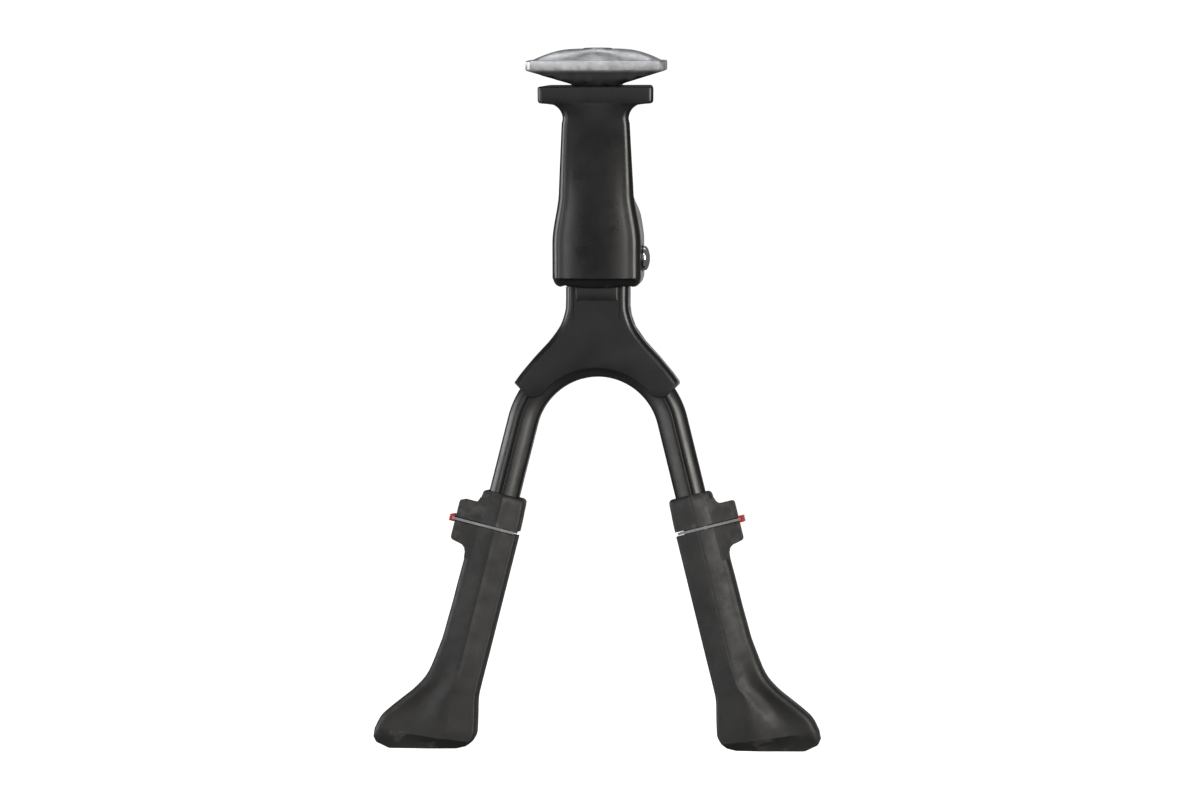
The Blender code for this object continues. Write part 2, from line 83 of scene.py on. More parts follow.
# Housing
FLANGE_HALF = HOUSING_HIGH.x
BODY_FRONT = HOUSING_LOW.y
BODY_BACK = 14.5
FLANGE_BACK = HOUSING_HIGH.y
FLANGE_THICK = 8.0
WAIST_HALF = 15.6
NECK_HALF = 17.6
NECK_Z = -48.0
LOWER_HALF = 20.9
LOWER_Z = -74.0
HOUSING_BOTTOM = HOUSING_LOW.z
WALL = 4.0
BLOCK_DEPTH = 16.0
SIDE_DRAFT = 2.4
BOSS_TOP = 50.0
BOSS_FULL = 62.0
BOSS_FACE_R = 6.7
FILLET_R = 7.2
LIP_DEPTH = 4.4
FLANGE_CROWN = 0.5
NECK_CROWN = 0.8
LOWER_CROWN = 2.3
LOWER_TUCK = 1.1
FLANGE_ROUND = 2.2
NECK_ROUND = 3.2
LOWER_ROUND = 4.5
LIP_ROUND = 4.4
BACK_ROUND = 1.2
CHANNEL_ROUND = 2.5
BOLT_BORE_R = 5.3
ANCHOR_BORE_R = 2.6
SHAFT_R = 4.0
GAP = 0.3

# Clamp plate and bolt
PLATE_UNDER = 7.4
PLATE_RIM = 12.2
PLATE_FLAT_R = 11.6
PLATE_BORE_R = 5.4
PLATE_BORE_EDGE_R = 5.8
DOME_INSET = 2.8
RECESS_R = 9.0
THREAD_PITCH = 1.5
THREAD_TOP = 4.0
THREAD_DEPTH = 0.92

# Yoke, arch and legs
ARCH_V = 85.6
ARCH_R = 36.5
TUBE_WIDE = 7.1
TUBE_DEEP = 6.5
LEG_LINE = ARCH_R - ARCH_V * math.sin(SPLAY)
LEG_END = 212.0
NECK_TOP = -13.7
RELIEF_HALF = 1.4
RELIEF_LOW = -15.6
PAD_HALF = 9.8
PAD_LOW = -20.1
GROOVE_NEAR = 10.55
GROOVE_FAR = 11.25
ARM_TIP = (38.9, -58.8)
CROTCH_R = 33.2
TUBE_WALL = 1.6
NOTCH_COUNT = 5
NOTCH_STEP = 10.0
NOTCH_HALF = 0.9

# Feet
SLEEVE_TOP = 119.3
SLEEVE_HALF = 11.0
LUG_OUT = 19.2
LUG_LOW = 145.7
LUG_HIGH = 126.3
SLIT_AT = 135.9
SLIT_WIDE = 2.0
SOLE_V = 232.3
FOOT_DEEP = 10.0
BAND_DROP = 2.0
BAND_ROUND = 3.0
BEND_FALL = 1.5
POCKET_END = 213.5
COLLAR_IN = 10.6
COLLAR_OUT = 9.8
RIDGE_AT = -0.3
SHOE_TOP = 196.0
FLARE_TOP = 202.0
FLARE_LOW = 224.0
SOLE_SLOT_X = (76.5, 89.1)
SOLE_SLOT_Z = (-231.2, -229.9)

# Clips and spring
TAB_INNER = 19.6
TAB_OUTER = 22.2
TAB_HALF = 1.6
HOOK_Y = -7.0
HOOK_V = 11.0
PIN_R = 2.3
COIL_R = 4.2
WIRE_R = 0.8
COIL_TURNS = 9
COIL_LEAD = 3.5

EDGE_ANGLE = 32
LEG_MATRIX = Matrix.Translation((0, 0, PIVOT_Z)) @ Matrix.Rotation(-LEAN, 4, "X")


# ---------------------------------------------------------------- mesh helpers

def finish_mesh(name, bm, mat, matrix=None, sharp=40):
    """An object from a mesh drawn in millimetres, smooth but for edges sharper than an angle."""
    bmesh.ops.recalc_face_normals(bm, faces=bm.faces)
    if matrix:
        bm.transform(matrix)
    bm.transform(Matrix.Scale(MM, 4))
    mesh = bpy.data.meshes.new(name)
    bm.to_mesh(mesh)
    bm.free()
    mesh.shade_smooth()
    mesh.set_sharp_from_angle(angle=math.radians(sharp))
    obj = bpy.data.objects.new(name, mesh)
    bpy.context.scene.collection.objects.link(obj)
    if mat:
        mesh.materials.append(mat)
    return obj


def skin(bm, rings, loop=False, caps=True):
    """Join rings of points with quads, close each end with one face, or join the last to the first."""
    rows = [[bm.verts.new(point) for point in ring] for ring in rings]
    pairs = list(zip(rows, rows[1:]))
    if loop:
        pairs.append((rows[-1], rows[0]))
    count = len(rows[0])
    for low, high in pairs:
        for index in range(count):
            after = (index + 1) % count
            bm.faces.new((low[index], low[after], high[after], high[index]))
    if caps and not loop:
        bm.faces.new(rows[0])
        bm.faces.new(rows[-1])


def prism(outline, low, high, axis="Y"):
    """A closed prism of a flat outline, as a new bmesh."""
    order = {"X": lambda a, b, c: (c, a, b), "Y": lambda a, b, c: (a, c, b), "Z": lambda a, b, c: (a, b, c)}
    bm = bmesh.new()
    skin(bm, [[order[axis](a, b, end) for a, b in outline] for end in (low, high)])
    return bm


def rectangle(x_low, x_high, z_low, z_high):
    return [(x_low, z_low), (x_high, z_low), (x_high, z_high), (x_low, z_high)]


def circle(radius, count=48, centre=(0, 0)):
    return [(centre[0] + radius * math.cos(2 * math.pi * k / count),
             centre[1] + radius * math.sin(2 * math.pi * k / count)) for k in range(count)]


def arc(centre, radius, start, end, count):
    points = []
    for index in range(count + 1):
        angle = math.radians(start + (end - start) * index / count)
        points.append((centre[0] + radius * math.cos(angle), centre[1] + radius * math.sin(angle)))
    return points


def mirrored(half):
    """A closed outline from its right half."""
    return half + [(-x, y) for x, y in reversed(half)]


def smoothstep(low, high, value):
    part = min(1.0, max(0.0, (value - low) / (high - low)))
    return part * part * (3 - 2 * part)


def lerp(a, b, part):
    return a + (b - a) * part


def table(keys, value):
    """Smooth interpolation in a short list of (place, amount) pairs."""
    if value <= keys[0][0]:
        return keys[0][1]
    for (low, a), (high, b) in zip(keys, keys[1:]):
        if value <= high:
            return lerp(a, b, smoothstep(low, high, value))
    return keys[-1][1]


def catmull(points, steps):
    """A smooth curve through the points."""
    padded = [points[0]] + points + [points[-1]]
    curve = []
    for a, b, c, d in zip(padded, padded[1:], padded[2:], padded[3:]):
        for step in range(steps):
            t = step / steps
            curve.append(tuple(
                0.5 * (2 * b[k] + (c[k] - a[k]) * t + (2 * a[k] - 5 * b[k] + 4 * c[k] - d[k]) * t * t
                       + (3 * b[k] - a[k] - 3 * c[k] + d[k]) * t ** 3) for k in range(2)))
    return curve + [points[-1]]


def carve(obj, cutters, operation="DIFFERENCE", matrix=None):
    """Apply exact Booleans with bmesh cutters drawn in millimetres, and remove the cutters."""
    made = []
    for cutter in cutters:
        shape = finish_mesh(f"{obj.name}_cutter", cutter, None, matrix)
        mod = obj.modifiers.new("Cut", "BOOLEAN")
        mod.object = shape
        mod.operation = operation
        mod.solver = "EXACT"
        made.append(shape)
    depsgraph = bpy.context.evaluated_depsgraph_get()
    mesh = bpy.data.meshes.new_from_object(obj.evaluated_get(depsgraph))
    obj.modifiers.clear()
    old = obj.data
    obj.data = mesh
    bpy.data.meshes.remove(old)
    for shape in made:
        bpy.data.objects.remove(shape, do_unlink=True)
    mesh.shade_smooth()
    mesh.set_sharp_from_angle(angle=math.radians(EDGE_ANGLE))


def round_edges(obj, width, segments=2, angle=EDGE_ANGLE):
    """Bevel the edges that are sharper than an angle, to a width in millimetres."""
    mod = obj.modifiers.new("Rounded", "BEVEL")
    mod.width = width * MM
    mod.segments = segments
    mod.limit_method = "ANGLE"
    mod.angle_limit = math.radians(angle)
    mod.harden_normals = True


def adopt(obj, body, slot, *nodes):
    """The piece rides on a body and stands for CAD nodes, which are hidden. The slot is not used."""
    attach(obj, body)
    if nodes:
        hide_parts(*nodes)


def on_leg(side, across, along):
    """Leg-plane point from its place on the leg: across is outward from the centre line."""
    out = LEG_LINE + across
    x = along * math.sin(SPLAY) + out * math.cos(SPLAY)
    v = along * math.cos(SPLAY) - out * math.sin(SPLAY)
    return (side * x, -v)


def leg_cutter(side, across, along, deep):
    """A block on the leg, from its limits across, along and through it."""
    corners = [on_leg(side, s, t) for s, t in rectangle(*across, *along)]
    return prism(corners, *deep)


# ---------------------------------------------------------------- materials

class Shader:
    """A Principled material and short ways to drive it."""

    def __init__(self, name, color, metallic, roughness):
        self.mat = bpy.data.materials.new(name)
        self.mat.use_nodes = True
        self.tree = self.mat.node_tree
        self.bsdf = self.tree.nodes["Principled BSDF"]
        self.set("Base Color", (*color, 1.0))
        self.set("Metallic", metallic)
        self.set("Roughness", roughness)
        self.coords = self.tree.nodes.new("ShaderNodeTexCoord").outputs["Object"]

    def set(self, socket, value):
        self.bsdf.inputs[socket].default_value = value

    def link(self, output, target):
        self.tree.links.new(output, target)

    def noise(self, scale, detail=3.0, roughness=0.55):
        node = self.tree.nodes.new("ShaderNodeTexNoise")
        node.inputs["Scale"].default_value = scale
        node.inputs["Detail"].default_value = detail
        node.inputs["Roughness"].default_value = roughness
        self.link(self.coords, node.inputs["Vector"])
        return node.outputs["Fac"]

    def cells(self, scale):
        node = self.tree.nodes.new("ShaderNodeTexVoronoi")
        node.inputs["Scale"].default_value = scale
        self.link(self.coords, node.inputs["Vector"])
        return node.outputs["Distance"]

    def height(self):
        """Height in the object's own space."""
        node = self.tree.nodes.new("ShaderNodeSeparateXYZ")
        self.link(self.coords, node.inputs["Vector"])
        return node.outputs["Z"]

    def ramp(self, source, low, high, a, b):
        """Map a source between two places onto two values or colours."""
        if isinstance(a, float):
            node = self.tree.nodes.new("ShaderNodeMapRange")
            for key, value in zip(("From Min", "From Max", "To Min", "To Max"), (low, high, a, b)):
                node.inputs[key].default_value = value
            self.link(source, node.inputs["Value"])
            return node.outputs["Result"]
        node = self.tree.nodes.new("ShaderNodeValToRGB")
        node.color_ramp.elements[0].position = low
        node.color_ramp.elements[1].position = high
        node.color_ramp.elements[0].color = (*a, 1.0)
        node.color_ramp.elements[1].color = (*b, 1.0)
        self.link(source, node.inputs["Fac"])
        return node.outputs["Color"]

    def mix(self, factor, a, b):
        node = self.tree.nodes.new("ShaderNodeMix")
        node.data_type = "RGBA"
        self.link(factor, node.inputs["Factor"])
        for value, socket in ((a, node.inputs["A"]), (b, node.inputs["B"])):
            if isinstance(value, tuple):
                socket.default_value = (*value, 1.0)
            else:
                self.link(value, socket)
        return node.outputs["Result"]

    def edges(self, low, high):
        """Near 1 on convex edges."""
        node = self.tree.nodes.new("ShaderNodeNewGeometry")
        return self.ramp(node.outputs["Pointiness"], low, high, 0.0, 1.0)

    def times(self, a, b):
        node = self.tree.nodes.new("ShaderNodeMath")
        node.operation = "MULTIPLY"
        node.use_clamp = True
        self.link(a, node.inputs[0])
        self.link(b, node.inputs[1])
        return node.outputs["Value"]

    def bump(self, heights, distance=0.0001):
        """Stack bumps: pairs of height source and strength."""
        normal = None
        for source, strength in heights:
            node = self.tree.nodes.new("ShaderNodeBump")
            node.inputs["Strength"].default_value = strength
            node.inputs["Distance"].default_value = distance
            self.link(source, node.inputs["Height"])
            if normal:
                self.link(normal, node.inputs["Normal"])
            normal = node.outputs["Normal"]
        self.link(normal, self.bsdf.inputs["Normal"])


def black_paint():
    """Semi-gloss black coating: faint orange peel, a hazy sheen, a few rubbed edges that are also painted
    lighter as edge highlights, and some dust.
    """
    s = Shader("black_paint_look", (0.012, 0.012, 0.013), 0.0, 0.3)
    cloud = s.noise(38.0, 4.0)
    base = s.ramp(cloud, 0.35, 0.7, (0.0045, 0.0045, 0.0050), (0.0085, 0.0084, 0.0087))
    # Convex edges painted paler: partly rubbed paint, partly a painted highlight along the edges.
    rubbed_and_highlit = s.times(s.edges(0.54, 0.64), s.ramp(s.noise(420.0, 3.0), 0.5, 0.72, 0.0, 0.6))
    dust = s.times(s.ramp(s.cells(240.0), 0.04, 0.07, 1.0, 0.0),
                   s.ramp(s.noise(75.0, 2.0), 0.60, 0.66, 0.0, 0.7))
    worn_and_highlit = s.mix(rubbed_and_highlit, base, (0.10, 0.098, 0.095))
    s.link(s.mix(dust, worn_and_highlit, (0.22, 0.22, 0.21)), s.bsdf.inputs["Base Color"])
    s.link(s.ramp(s.noise(95.0, 5.0), 0.3, 0.7, 0.24, 0.40), s.bsdf.inputs["Roughness"])
    s.set("Coat Weight", 0.25)
    s.set("Coat Roughness", 0.18)
    s.bump([(s.noise(900.0, 2.0), 0.10), (s.noise(160.0, 2.0), 0.05)])
    return s.mat


def cast_aluminium():
    """Bright die casting: grainy skin with small glints and duller patches, and painted shade darkening the
    underside below the rim.
    """
    s = Shader("cast_aluminium_look", (0.45, 0.46, 0.48), 1.0, 0.45)
    patch = s.ramp(s.noise(120.0, 5.0, 0.65), 0.35, 0.68, (0.56, 0.567, 0.595), (0.80, 0.808, 0.84))
    glint = s.ramp(s.cells(900.0), 0.05, 0.22, 1.0, 0.0)
    skin_colour = s.mix(s.times(glint, s.ramp(s.noise(300.0), 0.52, 0.66, 0.0, 0.8)), patch,
                        (0.90, 0.91, 0.93))
    # Painted shade: everything below the rim's underside is darkened by height.
    painted_underside_shade = s.ramp(s.height(), 0.0066, 0.0074, 1.0, 0.0)
    s.link(s.mix(painted_underside_shade, skin_colour, (0.19, 0.19, 0.195)), s.bsdf.inputs["Base Color"])
    s.link(s.ramp(s.noise(260.0, 4.0), 0.3, 0.7, 0.34, 0.56), s.bsdf.inputs["Roughness"])
    s.bump([(s.noise(1100.0, 4.0, 0.7), 0.35), (s.noise(240.0, 3.0), 0.22)])
    return s.mat


def black_nylon():
    """Glass-filled nylon: eroded mould grain, matt, with paler edges that are partly scuffs and partly a
    painted highlight along the ridge.
    """
    s = Shader("black_nylon_look", (0.016, 0.016, 0.017), 0.0, 0.55)
    tone = s.ramp(s.noise(60.0, 5.0), 0.35, 0.7, (0.0105, 0.0105, 0.0107), (0.020, 0.0195, 0.0188))
    # Convex edges painted paler: partly scuffs, partly a painted highlight on the foot's ridge.
    scuff_and_highlight = s.times(s.edges(0.508, 0.56), s.ramp(s.noise(260.0, 4.0), 0.42, 0.7, 0.15, 0.9))
    s.link(s.mix(scuff_and_highlight, tone, (0.075, 0.073, 0.070)), s.bsdf.inputs["Base Color"])
    s.link(s.ramp(s.noise(150.0, 4.0), 0.3, 0.7, 0.42, 0.60), s.bsdf.inputs["Roughness"])
    s.bump([(s.cells(1500.0), 0.25), (s.noise(2600.0, 2.0), 0.22)])
    return s.mat


def metal(name, color, roughness, spread, grain, strength):
    """Plated or bare steel with fine scratches and uneven gloss."""
    s = Shader(name, color, 1.0, roughness)
    darker = tuple(0.72 * part for part in color)
    s.link(s.ramp(s.noise(140.0, 4.0), 0.35, 0.7, darker, color), s.bsdf.inputs["Base Color"])
    s.link(s.ramp(s.noise(grain, 4.0), 0.3, 0.7, roughness - spread, roughness + spread),
           s.bsdf.inputs["Roughness"])
    s.bump([(s.noise(grain * 1.7, 3.0), strength)], 0.00005)
    return s.mat


def plastic(name, color, roughness):
    """Moulded plastic with a fine grain."""
    s = Shader(name, color, 0.0, roughness)
    deeper = tuple(0.75 * part for part in color)
    s.link(s.ramp(s.noise(180.0, 3.0), 0.35, 0.7, deeper, color), s.bsdf.inputs["Base Color"])
    s.link(s.ramp(s.noise(320.0, 3.0), 0.3, 0.7, roughness - 0.07, roughness + 0.07),
           s.bsdf.inputs["Roughness"])
    s.bump([(s.noise(1600.0, 2.0), 0.12)])
    return s.mat


# ---------------------------------------------------------------- housing

def housing_half(z):
    """Half the body's width between the fillets and the bottom corners."""
    if z > NECK_Z:
        return lerp(NECK_HALF, WAIST_HALF, (z - NECK_Z) / (-FLANGE_THICK - NECK_Z))
    return lerp(NECK_HALF, LOWER_HALF, smoothstep(-NECK_Z, -LOWER_Z, -z))


def housing_ring(z, half, front, back, crown, front_round, back_round):
    """A level section: crowned front with rounded corners, flat sides, a squarer back."""
    right = []
    inner = half - front_round
    draft = SIDE_DRAFT * (1 - smoothstep(BOSS_TOP, BOSS_FULL, -z))
    for index in range(8):
        x = inner * index / 8
        right.append((x, front - crown * (1 - (x / inner) ** 2)))
    for x, y in arc((inner, front + front_round), front_round, -90, 0, 7):
        right.append((x, y))
    side_end = back - back_round
    for part in (0.35, 0.7):
        right.append((half - draft * part, lerp(front + front_round, side_end, part)))
    for x, y in arc((half - draft - back_round, side_end), back_round, 0, 90, 3):
        right.append((x, y))
    right.append(((half - back_round) * 0.5, back))
    left = [(-x, y) for x, y in reversed(right[1:])]
    centre_back = [(0, back)]
    return [(x, y, z) for x, y in right + centre_back + left]


def make_housing(paint):
    """Flange, fillets and a crowned body, hollowed from behind, with its bores and boss faces."""
    rings = []
    for drop, inset in ((0.0, 0.9), (0.12, 0.45), (0.45, 0.12), (1.0, 0.0), (FLANGE_THICK - 1.4, 0.05),
                        (FLANGE_THICK - 0.7, 0.3), (FLANGE_THICK - 0.2, 0.9)):
        front = BODY_FRONT + (min(inset, 0.5) if drop < 1.0 else 0.0)
        rings.append(housing_ring(-drop, FLANGE_HALF - inset, front, FLANGE_BACK - inset,
                                  FLANGE_CROWN, FLANGE_ROUND, 1.4))
    fillet_steps = 12
    for index in range(fillet_steps + 1):
        part = index / fillet_steps
        angle = math.radians(90 + 90 * index / fillet_steps)
        half = WAIST_HALF + FILLET_R + FILLET_R * math.cos(angle)
        half = lerp(FLANGE_HALF - 2.0, half, min(1.0, index / 3))
        z = -FLANGE_THICK - FILLET_R + FILLET_R * math.sin(angle)
        back = lerp(FLANGE_BACK - 1.6, BODY_BACK, part ** 0.5)
        rings.append(housing_ring(z, half, BODY_FRONT, back, lerp(FLANGE_CROWN, NECK_CROWN, part),
                                  lerp(FLANGE_ROUND, NECK_ROUND, part), BACK_ROUND))
    start = -FLANGE_THICK - FILLET_R
    lip = HOUSING_BOTTOM + LIP_DEPTH
    levels = 34
    for index in range(1, levels + 1):
        z = lerp(start, lip, index / levels)
        part = smoothstep(-start, -LOWER_Z, -z)
        rings.append(housing_ring(z, housing_half(z), BODY_FRONT + LOWER_TUCK * part, BODY_BACK,
                                  lerp(NECK_CROWN, LOWER_CROWN, part),
                                  lerp(NECK_ROUND, LOWER_ROUND, part), BACK_ROUND))
    for drop, inset, tuck in ((0.3, 0.05, 0.25), (0.7, 0.15, 1.0), (1.6, 0.4, 1.8), (2.9, 0.9, 2.5),
                              (3.9, 1.8, 3.1), (4.4, 2.8, 3.7)):
        rings.append(housing_ring(lip - drop, LOWER_HALF - inset, BODY_FRONT + LOWER_TUCK + tuck,
                                  BODY_BACK - min(inset, 1.0), LOWER_CROWN, LIP_ROUND, 1.0))
    bm = bmesh.new()
    skin(bm, rings)
    housing = finish_mesh("housing_casting", bm, paint)

    channel = []
    channel_steps = 18
    inner = BODY_FRONT + WALL
    for index in range(channel_steps + 1):
        z = lerp(-BLOCK_DEPTH, HOUSING_BOTTOM - 4, index / channel_steps)
        half = housing_half(max(z, HOUSING_BOTTOM)) - WALL
        section = arc((half - CHANNEL_ROUND, inner + CHANNEL_ROUND), CHANNEL_ROUND, -90, 0, 4)
        section.append((half, FLANGE_BACK + 6))
        section = [(-x, y) for x, y in reversed(section)] + section
        channel.append([(x, y, z) for x, y in section])
    hollow = bmesh.new()
    skin(hollow, channel)
    cutters = [hollow, prism(circle(BOLT_BORE_R), -30, 6, "Z"),
               prism(circle(SHAFT_R + GAP, 40, (0, PIVOT_Z)), -40, 40, "X"),
               prism(circle(ANCHOR_BORE_R, 32, (0, ANCHOR_Z)), -40, NECK_HALF - 1.6, "X")]
    for side in SIDES.values():
        low, high = sorted((side * (LOWER_HALF - 0.35), side * (LOWER_HALF + 5)))
        cutters.append(prism(circle(BOSS_FACE_R, 48, (0, PIVOT_Z)), low, high, "X"))
    carve(housing, cutters)
    round_edges(housing, 0.35)
    adopt(housing, "mount_body", "black_paint", "housing")


def turned(name, profile, mat, centre):
    """Spin (along, radius) points round a line along X. Ends on the line close as one face."""
    rings = []
    for along, radius in profile:
        rings.append([(centre[0] + along, centre[1] + a, centre[2] + b)
                      for a, b in circle(max(radius, 0.001), 64)])
    bm = bmesh.new()
    skin(bm, rings)
    return finish_mesh(name, bm, mat)


def make_pivot_screw(chrome):
    """Shoulder screw: a domed head with a small hexagon socket."""
    tip = SCREW_LOW.x
    top = SCREW_HIGH.x
    head = top - 3.3
    head_radius = 5.8
    dome = [(head + 1.0 + 2.3 * math.sin(math.radians(a)), head_radius * math.cos(math.radians(a)))
            for a in range(0, 88, 6)]
    profile = [(tip, 0.0), (tip, SHAFT_R - 0.6), (tip + 0.6, SHAFT_R), (head, SHAFT_R),
               (head, 5.5), (head + 0.15, 5.75), (head + 0.4, head_radius)] + dome
    screw = turned("pivot_screw_domed", profile, chrome, (0, 0, PIVOT_Z))
    socket = prism(circle(2.3, 6, (0, PIVOT_Z)), top - 1.9, top + 3, "X")
    carve(screw, [socket])
    adopt(screw, "mount_body", "bright_chrome", "pivot_screw")


# ---------------------------------------------------------------- clamp

def ray_ring(outline, angles, z):
    """Where rays from the centre meet a star-shaped outline, as a ring at height z."""
    ring = []
    for angle in angles:
        direction = (math.cos(angle), math.sin(angle))
        reach = 1e9
        for (ax, ay), (bx, by) in zip(outline, outline[1:] + outline[:1]):
            ex, ey = bx - ax, by - ay
            cross = direction[0] * ey - direction[1] * ex
            if abs(cross) < 1e-9:
                continue
            distance = (ax * ey - ay * ex) / cross
            along = (ax * direction[1] - ay * direction[0]) / cross
            if distance > 0 and -1e-6 <= along <= 1 + 1e-6:
                reach = min(reach, distance)
        ring.append((direction[0] * reach, direction[1] * reach, z))
    return ring


def plate_plan(inset):
    """The clamp plate from above: straight front, chamfered corners, tapered back."""
    half = PLATE_BOX_HIGH.x - inset
    front = PLATE_BOX_LOW.y + inset
    back = PLATE_BOX_HIGH.y - inset
    right = [(half - 2.2, front), (half, front + 2.2), (half, 2.0 - inset * 0.4),
             (half - 5, 8.5 - inset * 0.6), (19.5 - inset * 0.5, back - 1.2), (17.0 - inset * 0.5, back)]
    return mirrored(right)


def key_plan(half_x, half_y):
    """A rectangle with cut corners, as the plate's underside is seen from above."""
    cut = 1.5
    right = [(half_x - cut, -half_y), (half_x, -half_y + cut), (half_x, half_y - cut), (half_x - cut, half_y)]
    return mirrored(right)


def make_clamp_plate(cast):
    """A stepped underside, an upright rim, and a dome with a recess for the bolt's head."""
    top = PLATE_BOX_HIGH.z
    floor = WASHER_LOW.z - GAP
    angles = sorted([2 * math.pi * k / 120 for k in range(120)]
                    + [math.atan2(y, x) % (2 * math.pi) for x, y in plate_plan(0.0)])

    def ring_of(radius, z):
        return [(radius * math.cos(a), radius * math.sin(a), z) for a in angles]

    rings = [ring_of(PLATE_BORE_R, GAP + 0.3), ring_of(PLATE_BORE_EDGE_R, GAP)]
    for half_x, half_y, z in ((11.0, 13.6, GAP), (11.6, 14.2, GAP + 0.6), (18.3, 15.7, 3.0),
                              (25.1, 17.2, 5.1)):
        rings.append(ray_ring(key_plan(half_x, half_y), angles, z))
    for inset, z in ((0.7, PLATE_UNDER - 0.15), (0.15, PLATE_UNDER + 0.25), (0.0, PLATE_UNDER + 0.8),
                     (0.0, PLATE_RIM - 0.7), (0.2, PLATE_RIM - 0.2), (0.8, PLATE_RIM),
                     (1.5, PLATE_RIM - 0.15), (2.1, PLATE_RIM - 0.1)):
        rings.append(ray_ring(plate_plan(inset), angles, z))
    dome_steps = 9
    edge = ray_ring(plate_plan(DOME_INSET), angles, PLATE_RIM)
    flat = ring_of(PLATE_FLAT_R, top)
    for index in range(dome_steps + 1):
        part = index / dome_steps
        z = PLATE_RIM + 0.1 + (top - PLATE_RIM - 0.1) * math.sin(part * math.pi / 2) ** 0.9
        rings.append([(lerp(outer[0], inner[0], part), lerp(outer[1], inner[1], part), z)
                      for outer, inner in zip(edge, flat)])
    for radius, z in ((9.9, top), (9.3, top - 0.25), (RECESS_R, top - 0.8), (RECESS_R, floor + 0.4),
                      (8.7, floor), (PLATE_BORE_EDGE_R, floor), (PLATE_BORE_R, floor - 0.4)):
        rings.append(ring_of(radius, z))
    bm = bmesh.new()
    skin(bm, rings, loop=True)
    plate = finish_mesh("clamp_plate_casting", bm, cast, sharp=28)
    adopt(plate, "clamp_plate_body", "cast_aluminium", "clamp_plate")


def make_clamp_bolt(zinc):
    """M10 bolt with a socket head and a true helical thread."""
    count = 40
    per_pitch = 8
    rise = THREAD_PITCH / per_pitch
    tip = BOLT_LOW.z
    head = WASHER_HIGH.z + GAP
    top = BOLT_HIGH.z
    rings = []
    for radius, z in ((0.001, tip), (3.9, tip), (4.2, tip + 0.15)):
        rings.append([(a, b, z) for a, b in circle(radius, count)])
    start = tip + 0.6
    steps = int((THREAD_TOP - tip - 1.0) / rise)
    for index in range(steps + 1):
        z = start + index * rise
        fade = smoothstep(0, 5, index)
        ring = []
        for k in range(count):
            angle = 2 * math.pi * k / count
            phase = (z / THREAD_PITCH - k / count) % 1.0
            depth = THREAD_DEPTH * (1 - abs(2 * phase - 1) * 1.15)
            radius = lerp(4.15, 5.0 - max(0.0, depth), fade)
            ring.append((radius * math.cos(angle), radius * math.sin(angle), z))
        rings.append(ring)
    end = start + steps * rise
    for radius, z in ((4.9, end + 0.6), (4.95, head), (7.7, head), (8.1, head + 0.4), (8.1, head + 2.4),
                      (7.9, head + 3.1), (7.2, head + 3.9), (6.2, top), (4.6, top)):
        rings.append([(a, b, z) for a, b in circle(radius, count)])
    bm = bmesh.new()
    skin(bm, rings)
    bolt = finish_mesh("clamp_bolt_threaded", bm, zinc, sharp=30)
    carve(bolt, [prism(circle(4.3, 6), top - 3.0, top + 4, "Z")])
    adopt(bolt, "clamp_bolt_body", "zinc_steel", "clamp_bolt")


# ---------------------------------------------------------------- yoke

def yoke_outline():
    """Right half from the top of the neck round the arm to the crotch, with each point's edge radius."""
    centre = (0, -ARCH_V)
    outer = [(14.8, NECK_TOP), (14.8, -21), (15.2, -25.5), (17.4, -32), (22.2, -38.9), (29.3, -46.7),
             (35.6, -54.2), ARM_TIP]
    curve = catmull(outer, 5)
    points = [(x, z, 3.2) for x, z in curve[:-1]]
    points.append((*ARM_TIP, 1.0))
    arm = [(38.6, -59.6), (33.6, -64.8), (32.4, -65.8), (30.9, -66.3), (28.8, -66.2), (26.5, -65.4)]
    points += [(x, z, 0.55) for x, z in arm]
    points += [(x, z, 0.55) for x, z in arc(centre, CROTCH_R, 41.5, 90, 18)]
    return points


def offset_outline(points, amount):
    """Move each point inward along the outline's normal by its own amount."""
    moved = []
    last = len(points) - 1
    for index, (x, z, _) in enumerate(points):
        before = points[max(index - 1, 0)]
        after = points[min(index + 1, last)]
        tangent = Vector((after[0] - before[0], after[1] - before[1])).normalized()
        inward = Vector((tangent.y, -tangent.x))
        step = amount(points[index])
        moved.append((x + inward.x * step, z + inward.y * step))
    return moved


def arch_band(low, high, reach):
    """The arch's band, widened by a reach to each side, as a cutter."""
    centre = (0, -ARCH_V)
    band = arc(centre, ARCH_R + reach, -8, 188, 72) + arc(centre, ARCH_R - reach, 188, -8, 72)
    return prism(band, low, high)


